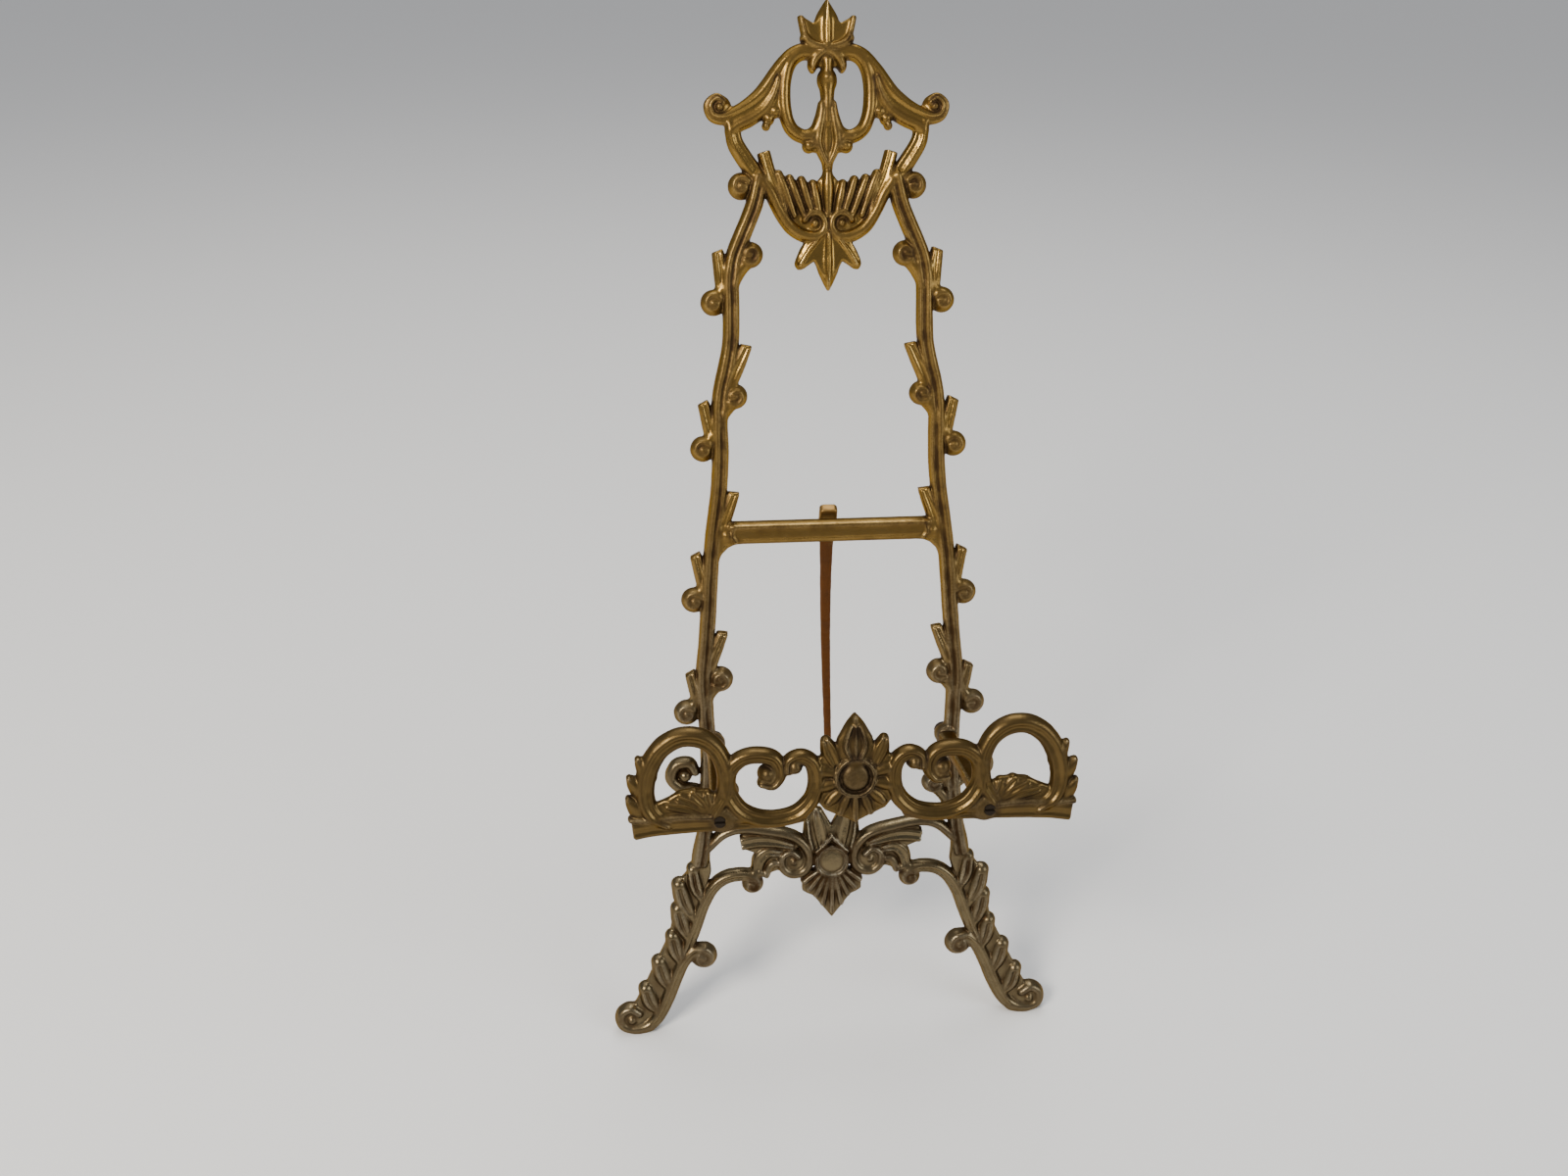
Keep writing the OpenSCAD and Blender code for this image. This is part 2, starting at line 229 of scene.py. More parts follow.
    def plate(self, outline, top, edge=1.0):
        """Adds a closed flat shape with rounded edges."""
        o = np.array(outline, float)
        cut = self.window(o[:, 0].min(), o[:, 0].max(), o[:, 1].min(), o[:, 1].max())
        if cut is None:
            return
        x, u = self.columns(cut)
        near = np.full(x.shape, UNREACHED)
        within = np.zeros(x.shape, bool)
        for (ax, au), (bx, bu) in zip(o, np.roll(o, -1, 0)):
            dx, du = bx - ax, bu - au
            t = np.clip(((x - ax) * dx + (u - au) * du) / max(dx * dx + du * du, 1e-9), 0, 1)
            near = np.minimum(near, np.hypot(x - ax - dx * t, u - au - du * t))
            if abs(du) > 1e-9:
                within ^= ((au > u) != (bu > u)) & (x < ax + dx * (u - au) / du)
        d = np.where(within, -near, near)[..., None] + edge
        w = self.axes[2][None, None, :]
        h = np.maximum(w - top, self.back - w) + edge
        outside = np.sqrt(np.maximum(d, 0) ** 2 + np.maximum(h, 0) ** 2)
        f = outside + np.minimum(np.maximum(d, h), 0) - edge
        self.field[cut] = smooth_min(self.field[cut], f.astype(np.float32), self.k)

    def barrel(self, x0, x1, u, w, r, reach=None):
        """Adds a round bar along x, stretched in w as far as reach."""
        x, up, out = np.meshgrid(*self.axes, indexing="ij")
        low, high = sorted((w, w if reach is None else reach))
        a = np.hypot(up - u, out - np.clip(out, low, high)) - r + BARREL_EDGE
        b = np.abs(x - (x0 + x1) / 2) - (x1 - x0) / 2 + BARREL_EDGE
        outside = np.hypot(np.maximum(a, 0), np.maximum(b, 0))
        f = outside + np.minimum(np.maximum(a, b), 0) - BARREL_EDGE
        self.field = smooth_min(self.field, f.astype(np.float32), self.k)

    def carve(self, points, r, w, k, deep):
        """Cuts a rounded channel along a line: half width r, its middle at height w, deep below it."""
        line = spline([(q[0], q[1], r, 0) for q in points])
        cut = self.window(line[:, 0].min() - r, line[:, 0].max() + r,
                          line[:, 1].min() - r, line[:, 1].max() + r, pad=1)
        if cut is None:
            return
        x, u = self.columns(cut)
        q = self.lateral(line, x, u, (0, 0))[0]
        z = (self.axes[2][None, None, :] - w) / deep
        f = (np.sqrt(q[..., None] ** 2 + z ** 2) - 1) * r
        self.field[cut] = -smooth_min(-self.field[cut], f.astype(np.float32), k)

    def mirror(self):
        """Completes a piece drawn for x >= 0 with its mirror image."""
        self.field = np.concatenate([self.field[:0:-1], self.field])
        self.axes[0] = np.concatenate([-self.axes[0][:0:-1], self.axes[0]])

    def sample(self, p):
        """The field at drawing points, between the grid's values."""
        g = [(p[:, i] - self.axes[i][0]) / self.step for i in range(3)]
        i = [np.clip(np.floor(a).astype(int), 0, n - 2) for a, n in zip(g, self.field.shape)]
        t = [np.clip(a - b, 0, 1) for a, b in zip(g, i)]
        out = 0
        for dx in (0, 1):
            for dy in (0, 1):
                for dz in (0, 1):
                    share = ((t[0] if dx else 1 - t[0]) * (t[1] if dy else 1 - t[1])
                             * (t[2] if dz else 1 - t[2]))
                    out = out + share * self.field[i[0] + dx, i[1] + dy, i[2] + dz]
        return out

    def slope(self, p):
        """The field's gradient at drawing points."""
        e = 0.6 * self.step
        return np.stack([self.sample(p + d) - self.sample(p - d) for d in np.eye(3) * e], 1) / (2 * e)

    def settle(self, p):
        """The points moved one step closer to the surface, and the slopes where they were."""
        g = self.slope(p)
        return p - (self.sample(p) / np.maximum((g ** 2).sum(1), 0.2))[:, None] * g, g

    def surface(self):
        """Vertices and quads of the zero surface, by surface nets."""
        f = self.field
        inside = f < 0
        corners = [(a, b, c) for a in (0, 1) for b in (0, 1) for c in (0, 1)]
        n = [s - 1 for s in f.shape]

        def corner(v, c):
            return v[c[0]:c[0] + n[0], c[1]:c[1] + n[1], c[2]:c[2] + n[2]]

        count = sum(corner(inside, c).astype(np.int8) for c in corners)
        cells = np.argwhere((count > 0) & (count < 8))
        index = np.full(n, -1, np.int32)
        index[tuple(cells.T)] = np.arange(len(cells))
        value = {c: f[tuple((cells + c).T)] for c in corners}
        total = np.zeros((len(cells), 3))
        hits = np.zeros(len(cells))
        for a in corners:
            for axis in range(3):
                if a[axis]:
                    continue
                b = tuple(1 if i == axis else a[i] for i in range(3))
                va, vb = value[a], value[b]
                cross = (va < 0) != (vb < 0)
                t = np.where(cross, va / np.where(cross, va - vb, 1), 0)
                p = np.tile(np.array(a, float), (len(cells), 1))
                p[:, axis] = t
                total += p * cross[:, None]
                hits += cross
        low = np.array([a[0] for a in self.axes])
        points = low + (cells + total / hits[:, None]) * self.step
        quads = []
        for axis in range(3):
            i, j = [a for a in range(3) if a != axis]
            lo = [slice(None)] * 3
            hi = [slice(None)] * 3
            lo[axis], hi[axis] = slice(0, -1), slice(1, None)
            a, b = inside[tuple(lo)], inside[tuple(hi)]
            edges = np.argwhere(a != b)
            edges = edges[(edges[:, i] > 0) & (edges[:, j] > 0)
                          & (edges[:, i] < f.shape[i] - 1) & (edges[:, j] < f.shape[j] - 1)]
            outward = a[tuple(edges.T)]
            around = []
            for di, dj in ((-1, -1), (0, -1), (0, 0), (-1, 0)):
                e = edges.copy()
                e[:, i] += di
                e[:, j] += dj
                around.append(index[tuple(e.T)])
            quad = np.stack(around, 1)
            flip = outward if axis != 1 else ~outward
            quad[~flip] = quad[~flip][:, ::-1]
            quads.append(quad)
        for _ in range(2):
            points = self.settle(points)[0]
        return points, np.vstack(quads)

    def build(self, name, place, rough, ground=None):
        """Makes the Blender object. Its points carry how deep they sit in a hollow and how far they
        stand on a ridge. rough is the waviness in millimetres, and nothing goes below ground."""
        points, quads = self.surface()
        mesh = bpy.data.meshes.new(name)
        mesh.vertices.add(len(points))
        mesh.vertices.foreach_set("co", points.astype(np.float32).ravel())
        mesh.loops.add(quads.size)
        mesh.loops.foreach_set("vertex_index", quads.astype(np.int32).ravel())
        mesh.polygons.add(len(quads))
        mesh.polygons.foreach_set("loop_start", np.arange(0, quads.size, 4, dtype=np.int32))
        mesh.update(calc_edges=True)
        piece = bpy.data.objects.new(name, mesh)
        bpy.context.scene.collection.objects.link(piece)
        if 2 * len(quads) > MOST_FACES:
            fewer = piece.modifiers.new("fewer", "DECIMATE")
            fewer.ratio = MOST_FACES / (2 * len(quads))
            with bpy.context.temp_override(object=piece, active_object=piece):
                bpy.ops.object.modifier_apply(modifier="fewer")
            mesh = piece.data
        points = np.empty(len(mesh.vertices) * 3, np.float32)
        mesh.vertices.foreach_get("co", points)
        points = points.reshape(-1, 3).astype(float)
        points, g = self.settle(points)
        normal = g / np.maximum(np.linalg.norm(g, axis=1), 1e-6)[:, None]
        hollow = 1 - self.sample(points + normal * HOLLOW_REACH) / HOLLOW_REACH
        ridge = 1 + self.sample(points - normal * RIDGE_REACH) / RIDGE_REACH
        points += normal * (rough * uneven(points))[:, None]
        m = np.array(place)
        world = points @ m[:3, :3].T + m[:3, 3]
        if ground is not None:
            world[:, 2] = np.maximum(world[:, 2], ground)
        mesh.vertices.foreach_set("co", world.astype(np.float32).ravel())
        for key, v in (("hollow", hollow), ("ridge", ridge)):
            mesh.attributes.new(key, "FLOAT", "POINT").data.foreach_set("value", v.astype(np.float32))
        mesh.validate()
        mesh.shade_smooth()
        return piece


def uneven(p):
    """A slow waviness of a hand-finished casting, from about -1 to 1."""
    rng = np.random.default_rng(7)
    total = np.zeros(len(p))
    for size, share in ((9.0, 0.5), (4.0, 0.3), (2.0, 0.2)):
        for _ in range(3):
            way = rng.normal(size=3)
            way /= np.linalg.norm(way)
            total += share / 1.7 * np.sin(p @ way * 2 * np.pi / size + rng.uniform(0, 6.28))
    return total


# ---- the frame casting, drawn for its right half ----
RAIL = [(18.6, 260.5, 2.2), (20.2, 254, 2.3), (22, 249.5, 2.3), (24.3, 244.5, 2.3), (26.3, 239.6, 2.3),
        (27.3, 234, 2.2), (27.4, 226, 2.2), (27.7, 217, 2.2), (29, 210, 2.3), (30.7, 203, 2.3),
        (31.4, 196, 2.3), (31.4, 186, 2.3), (32.1, 175, 2.3), (33.7, 164, 2.4), (35.2, 152, 2.3),
        (36.1, 140, 2.3), (37.2, 128, 2.3), (38.2, 118, 2.4), (37.9, 108, 2.4), (37.5, 96, 2.4),
        (37.9, 84, 2.3), (39.4, 68, 2.5), (41, 58, 2.7)]

# scroll ends on the rail: x, u, radius, 1 if on the outer side
EYES = [(23.9, 258.3, 3.6, 1), (21.6, 240.2, 3.5, 0), (32.3, 227.3, 3.6, 1), (26.7, 201.4, 3.5, 0),
        (36.4, 186.6, 3.7, 1), (40.3, 142.1, 3.8, 1), (33.2, 117.5, 3.9, 0), (43.6, 107.3, 3.9, 1)]

# squared leaves on the rail: tip, root
LEAVES = [((30.5, 241), (29.3, 230)), ((23.2, 215.2), (28.6, 204)), ((35.7, 199.6), (33.2, 188)),
          ((27.7, 173.5), (32.2, 162)), ((39.2, 155.6), (36.8, 144.5)), ((32, 131.6), (36.8, 120.5)),
          ((41.9, 119.6), (39.5, 109.5)), ((32.6, 91), (36.8, 80.5))]


def crest(c):
    """The crown, the arms that end in scrolls, the oval rings and the stem between them."""
    # the crown: a tall middle leaf and two squared side leaves on a raised collar
    c.plate([(-1, 293), (5.8, 294.2), (7, 297.6), (7.9, 301.3), (6.6, 301.2), (3.7, 299.6), (2.4, 301),
             (-1, 303)], 2.1, 0.8)
    c.strand([(0, 293.5, 2.8), (0, 296.4, 3.6), (0, 299.4, 3.5), (0, 302.2, 2.1), (0, 305, 0.5)], top=3.3,
             profile=RIBBED, k=0.3)
    c.strand([(5.2, 294.8, 0.9), (6.2, 297.6, 1.0), (7, 300.8, 0.8)], top=3.0)
    c.strand([(0, 293.4, 1.3), (3.2, 294, 1.4), (6.2, 295.8, 1.2)], top=3.5, k=0.5)
    # the arm swells, then runs out to the scroll that ends it
    c.strand([(1, 292.8, 1.9), (5.6, 293, 2.0), (9.6, 291.3, 2.2), (13.2, 287.2, 2.5), (17, 282, 2.7),
              (21, 278.9, 2.4), (25, 276.9, 2.1), (28.4, 275.8, 1.8), (31.2, 276.6, 1.6), (32, 279.2, 1.5),
              (30, 281, 1.3), (28, 280, 1.1)], top=3.1, k=0.4, profile=EDGED)
    c.strand([(29.3, 278.4)], 3.4, 2.2)
    c.ball(29.2, 278.5, 1.5, 3.3, k=0.5)
    c.plate([(9, 291), (14, 286), (19, 280), (26, 277), (26.5, 273.6), (21, 275), (15, 276.6), (12.6, 277),
             (12, 285)], 2.0, 0.8)
    c.strand([(13.2, 286, 0.8), (14.6, 281.6, 1.3), (17.2, 278, 1.7), (20.8, 275.6, 1.8), (24.2, 274.1, 1.8),
              (26.2, 272.6, 1.7)], top=2.9, k=0.4)
    # the oval ring around each opening
    c.strand([(2.4, 292, 1.9), (7, 292.2, 1.9), (10.1, 289.8, 1.9), (11.6, 284.8, 1.9), (11.6, 278, 1.9),
              (9.9, 273.2, 1.9), (6.4, 271.1, 1.9), (3.4, 272.3, 1.8), (2.2, 275.6, 1.4), (1.6, 279.4, 1.0)],
             top=3.0, k=0.4)
    c.plate([(-1, 288.6), (2.8, 288.6), (5, 290), (5.2, 293), (-1, 293)], 1.8, 0.7)
    c.plate([(-1, 276), (1.6, 276), (3.4, 271), (6, 269.6), (4, 267), (-1, 266.4)], 1.8, 0.7)
    for x, u, r in ((14.2, 277.4, 1.7), (16, 275.6, 1.7), (16.7, 273.8, 1.2)):
        c.ball(x, u, r, 2.7)
    c.strand([(1, 292.4, 1.3), (3, 291, 1.7), (3.9, 289.2, 1.5), (4, 288, 0.9)], top=3.4, k=0.3)
    c.strand([(0, 290.2, 2.0), (0, 287.6, 1.8), (0.2, 285.6, 2.6), (0.1, 283.4, 2.0), (0, 280, 1.8),
              (0, 275, 1.9)], top=3.1, k=0.4)
    c.ball(0.1, 285.8, 1.9, 3.7, k=0.4)
    c.strand([(1.2, 278, 1.0), (2, 273.6, 1.4), (2.6, 270, 1.5), (1.7, 266.8, 1.2), (0.4, 264.2, 1.1)],
             top=3.2, k=0.25)
    c.strand([(0, 276, 1.6), (0, 270, 2.0), (0, 266, 1.5), (0, 263, 1.5)], top=2.4)
    c.strand([(6.6, 271, 1.5), (4.4, 270.6, 1.4), (3.6, 268.8, 1.2)], top=3.0)
    c.ball(5.1, 268.6, 1.9, 3.1, k=0.3)
    # the corner that carries the crest on the side rail
    c.strand([(26, 274, 2.1), (25.2, 269.6, 2.3), (22.8, 265.6, 2.4), (20.3, 262, 2.4), (18.6, 259.4, 2.3)],
             top=2.9, profile=EDGED)


def pendant(c):
    """The shell between two volutes, and the leaf below it."""
    c.plate([(-1, 262.3), (1.2, 261.6), (3, 259.4), (5.4, 259.2), (7, 260.7), (8.4, 259.6), (10.6, 261.2),
             (12, 260.4), (14.6, 262.6), (15.8, 258), (12.6, 250.5), (8.4, 245.6), (3, 243.6), (-1, 243)],
            1.4, 0.8)
    # leaves of the shell, closing in towards the volutes
    for x, u, r, root in ((0, 261.4, 1.9, 0), (4.1, 258.8, 1.6, 2.2), (7.3, 259.8, 1.6, 4.2),
                          (10.5, 260.2, 1.6, 6.6), (13.5, 261.4, 1.6, 9.4)):
        middle = (0.6 * x + 0.4 * root, u - 4, r, 3.0)
        c.strand([(x, u, 0.8 * r, 2.7), middle, (root, 250.5, 0.7 * r, 2.5)], k=0.2)
    c.strand([(11.6, 250.4, 1.0), (13.8, 256, 1.7), (16, 261.6, 1.9), (17.6, 267.2, 1.9)], top=2.8,
             square=(0, 1), profile=GROOVED)
    c.strand([(19, 261, 1.9), (15.8, 256.6, 1.9), (13.1, 251.3, 1.9), (10, 247.1, 1.9), (6, 245, 1.9),
              (2.6, 245.2, 1.7), (0.9, 247.6, 1.5), (1.8, 250.4, 1.3), (4.5, 251.2, 1.2), (6.5, 249.2, 1.1)],
             top=3.1, k=0.3)
    c.strand([(3.7, 248.3)], 3.0, 2.2)
    c.ball(3.7, 248.4, 1.4, 3.2, k=0.5)
    # the three-pointed leaf below
    c.plate([(-1, 246), (5, 245.4), (7, 242.6), (9, 238.8), (8.5, 236), (6.4, 236.6), (4, 238.2), (2, 234.5),
             (-1, 232)], 2.1, 0.8)
    c.strand([(0, 245, 2.3), (0, 241, 3.1), (0, 237.8, 3.4), (0, 234.2, 2.1), (0, 230.7, 0.5)], top=3.2,
             profile=RIBBED, k=0.3)
    c.strand([(3.4, 243.6, 1.6), (5.6, 241, 2.2), (7.8, 237.6, 1.6)], top=3.0, profile=RIBBED)


def leaf(c, tip, root):
    """A short leaf with a squared tip, broad where it joins the rail."""
    d = np.subtract(root, tip) / math.dist(root, tip)
    s = np.array([-d[1], d[0]])
    c.plate([tip + 1.9 * s, tip - 1.3 * s - 0.9 * d, root - 2.2 * s, root + 2.2 * s], 1.9, 0.6)
    middle = (np.array(tip) + root) / 2
    c.strand([(*tip, 1.5, 2.8), (*middle, 1.9, 3.0), (*root, 1.6, 2.4)], square=(1, 0), profile=GROOVED)


def side_rail(c):
    """One rail, with its alternating scrolls and squared leaves."""
    c.strand(RAIL, top=2.3)
    c.strand(beside(RAIL, 0.75), 1.6, 3.4, k=0.3)
    c.strand(beside(RAIL, -1.3), 1.15, 2.8, k=0.3)
    for x, u, r, outer in EYES:
        # the rail's strand that swells into the scroll, then the wound end around its eye
        if outer:
            # the topmost scroll joins the crest's corner instead
            if u < 250:
                c.strand([(x - 4.6, u + 9, 1.1), (x - 3.2, u + 4.6, 1.8), (x - 1.2, u + 1.6, 2.0)], top=2.8)
            c.curl(x, u, r, 150, -330)
        else:
            c.strand([(x + 5, u - 9, 1.1), (x + 3.4, u - 4.8, 1.8), (x + 1.2, u - 1.8, 2.0)], top=2.8)
            c.curl(x, u, r, -40, -330)
    for tip, root in LEAVES:
        leaf(c, tip, root)
    # scrolls that stay behind the fence
    c.strand([(38, 80, 1.5), (41.5, 82.4, 1.8), (46, 83.2, 2.0), (49, 86.5, 1.9), (47.4, 90.6, 1.9),
              (43.4, 91.2, 1.8), (41.6, 88.4, 1.5)], top=2.9, k=0.4)
    c.ball(44.8, 87.2, 2.2, 3.1, k=0.5)
    c.strand([(37.2, 72, 1.2), (35.4, 76.6, 1.8), (33, 79.6, 2.0)], top=2.8)
    c.curl(31.8, 81.5, 3.5, -20, -330)


def crossbar(c):
    """The plain bar that carries the hinge, with its raised line and rounded inner corners."""
    c.strand([(-2, 161.95, 3.35), (28, 161.95, 3.35), (32, 162.1, 3.1)], top=2.5, power=2.8, steps=1)
    c.strand([(-2, 164, 1.0), (29, 164, 1.0)], top=3.3, k=0.6, steps=1)
    corner = [(25 + 8.2 * math.sin(a), 151 + 8.2 * math.cos(a)) for a in np.linspace(0, math.pi / 2, 6)]
    c.plate([(24, 163), *corner, (33.8, 146), (36, 150), (34, 165)], 2.0)
    c.ball(30.2, 161.4, 2.0, 3.2)
    c.strand([(27.9, 164.4, 0.9), (28.6, 161.4, 1.1), (27.6, 159.6, 0.9)], top=3.1, k=0.3)


def leg(c):
    """One leafy front leg, from the apron down to its curled foot."""
    # the leaf's body, then its lobes, each lapped by the one above it
    c.plate([(38.6, 66), (42.6, 60), (45.4, 55), (49, 50.6), (49.6, 43), (51.4, 34), (55.8, 25),
             (60.2, 16), (64, 9), (60, 2), (51, 16), (43, 33), (40.5, 45), (37.6, 55)], 1.5, 0.9)
    lobes = [((43.4, 56.2), (42.6, 50.6), (40.4, 44.6), 2.5), ((47.8, 51), (46.4, 45.2), (43.2, 38.4), 3.0),
             ((48.4, 42.8), (47.3, 37.6), (44.9, 31.4), 3.0), ((50.4, 33.4), (49.4, 28.6), (47.6, 23.6), 3.0),
             ((55, 24.6), (53.7, 19.8), (51.4, 14.8), 3.1), ((59.5, 15.6), (58.1, 11.2), (55.6, 7.2), 3.0)]
    for tip, mid, root, r in reversed(lobes):
        c.strand([(*tip, 0.85 * r, 3.2), (*mid, r, 3.4), (*root, 0.5 * r, 2.2)], k=0.12)
        # each lobe's raised rim runs round a sunken vein
        vein = [0.8 * np.subtract(tip, mid) + mid, mid, 0.5 * np.subtract(root, mid) + mid]
        c.carve(vein, 0.3 * r, 3.9, 0.3, deep=1.5)
    c.strand([(40.2, 66, 2.0), (41.6, 60.6, 1.9), (42.6, 55.6, 1.2)], top=2.7, profile=EDGED)
    # the stem from the apron to the knee
    c.strand([(24.2, 52.3, 2.0), (28, 53.4, 2.1), (33, 52.7, 2.2), (37, 49.8, 2.2), (40.2, 44.5, 2.2),
              (42.6, 38, 2.2), (45.2, 31, 2.1), (47.4, 26.4, 1.2)], top=3.2, profile=EDGED, k=0.3)
    c.curl(24.8, 50.2, 3.4, 60, 330)
    # the stem from the knee's scroll to the foot
    c.strand([(40.4, 28.6, 1.8), (44, 28.2, 2.1), (47.3, 24.4, 2.3), (50.2, 18.3, 2.4), (52.8, 11.8, 2.4),
              (55.8, 5.8, 2.3), (59.5, 2.5, 2.2), (63.5, 1.9, 1.9)], top=3.3, profile=EDGED, k=0.3)
    c.curl(40.8, 26, 4.3, 70, 330, 3.3)
    c.strand([(64.2, 5.4)], 4.9, 2.4, power=2.4)
    c.strand([(58.6, 2.6, 2.0), (63.2, 1.8, 2.0), (67.1, 3.4, 2.0), (67.6, 7, 1.9), (64.8, 9, 1.7),
              (61.9, 7.4, 1.5)], top=3.3, k=0.5)
    c.ball(64.2, 5.4, 2.0, 3.5, k=0.5)


BOSS_U = 57.2


def apron(c):
    """The ornament between the legs."""
    # the round boss with its raised rim and pointed hood
    c.strand([(0, BOSS_U)], 5.4, 2.4, power=3.4)
    c.ring(0, BOSS_U, 4.9, 0.9, 3.2, k=0.3)
    c.strand([(5, 60.4, 0.8), (2.8, 62.4, 0.8), (0, 65.4, 1.0)], top=3.3, k=0.3)
    # the bib with its rays
    c.plate([(0, 37.4), (-6, 45.2), (-7.8, 46), (-9.3, 47), (-9.4, 54), (9.4, 54), (9.3, 47), (7.8, 46),
             (6, 45.2)], 1.7, 0.8)
    for angle, far in ((0, 18.4), (11, 16), (23, 13.8), (37, 13), (52, 12.2)):
        a = math.radians(angle)
        along = ((5.2, 0.8), (9, 1.3), (far - 1, 1.0))
        c.strand([(s * math.sin(a), BOSS_U - s * math.cos(a), r) for s, r in along], top=2.8, k=0.3)
    # two broad upright petals behind the boss
    c.plate([(-1, 60), (-1, 67), (0.6, 70), (3, 74.4), (5.6, 75), (8.2, 71.6), (8.8, 66), (7.6, 60)],
            1.6, 0.8)
    c.strand([(2.6, 61, 1.6), (3.2, 66, 2.5), (4.2, 70.6, 2.2), (4.8, 74, 1.0)], top=3.0,
             profile=GROOVED, k=0.3)
    c.strand([(6, 61.5, 1.5), (7, 65.6, 1.9), (7.4, 70.4, 1.0)], top=2.8, profile=RIBBED, k=0.3)
    # the wing's upper edge runs down into the volute beside the boss
    c.strand([(38.6, 63, 1.7), (33.4, 67.6, 1.8), (27.4, 69, 1.8), (19, 67.7, 1.8), (12, 65.7, 1.8),
              (8, 62, 1.8), (6.8, 57.6, 1.8), (8.9, 53.9, 1.8), (12.6, 53.2, 1.8), (15.4, 55.6, 1.7),
              (15.4, 59, 1.5), (12.8, 60.6, 1.3), (10.5, 58.9, 1.2)], top=3.1, k=0.3)
    c.strand([(11.6, 57.2)], 4.4, 2.3)
    c.ball(11.9, 57.4, 1.6, 3.1, k=0.5)
    # the wing's leaf fingers
    c.plate([(9, 62), (12, 65), (20, 67.4), (27.6, 69), (28, 65.6), (25, 63.6), (27, 61.8), (23.6, 60.4),
             (22.8, 56.4), (21, 53), (16, 54.6), (16, 60)], 1.5, 0.8)
    c.strand([(12.5, 62.6, 1.4), (17.6, 64.2, 2.3), (22.6, 64.8, 2.7), (28.3, 64, 2.5)], top=2.9,
             square=(0, 1), profile=GROOVED, k=0.2)
    c.strand([(16.4, 60.4, 1.3), (19.8, 60.8, 2.1), (22.4, 58.6, 2.4), (23.4, 54.8, 2.0)], top=3.0,
             profile=GROOVED, k=0.2)
    c.strand([(16.8, 57.2, 1.2), (18.8, 56.8, 1.6), (20, 54.8, 1.5), (20.4, 53, 1.1)], top=2.8, k=0.2)
    c.strand([(26.6, 52.8, 1.9), (23.4, 54, 1.8), (20.6, 53.4, 1.2)], top=2.7)


def frame_casting():
    """The whole leaning frame in one casting."""
    c = Casting((0, 71), (-3, 308), (-2.4, 4.6), GRID, BACK)
    crest(c)
    pendant(c)
    side_rail(c)
    crossbar(c)
    leg(c)
    apron(c)
    c.strand([(ARM_X, ARM_U)], ARM_SEAT_R, FRONT + 0.2, power=4)
    c.mirror()
    return c.build("frame_casting", ON_FRAME, rough=0.06, ground=0.0)


def hinge_ears():
    """The two ears behind the crossbar that hold the hinge pin."""
    c = Casting((0, 6), (157, 165), (-10.2, 2.4), EAR_GRID, 0)
    c.barrel(EAR_IN, EAR_IN + EAR_THICK, HINGE_U, HINGE_W, EAR_R, reach=EAR_REACH)
    c.mirror()
    return c.build("hinge_ears", ON_FRAME, rough=0.05)


# ---- the fence casting ----
FLOWER_U = 107.5


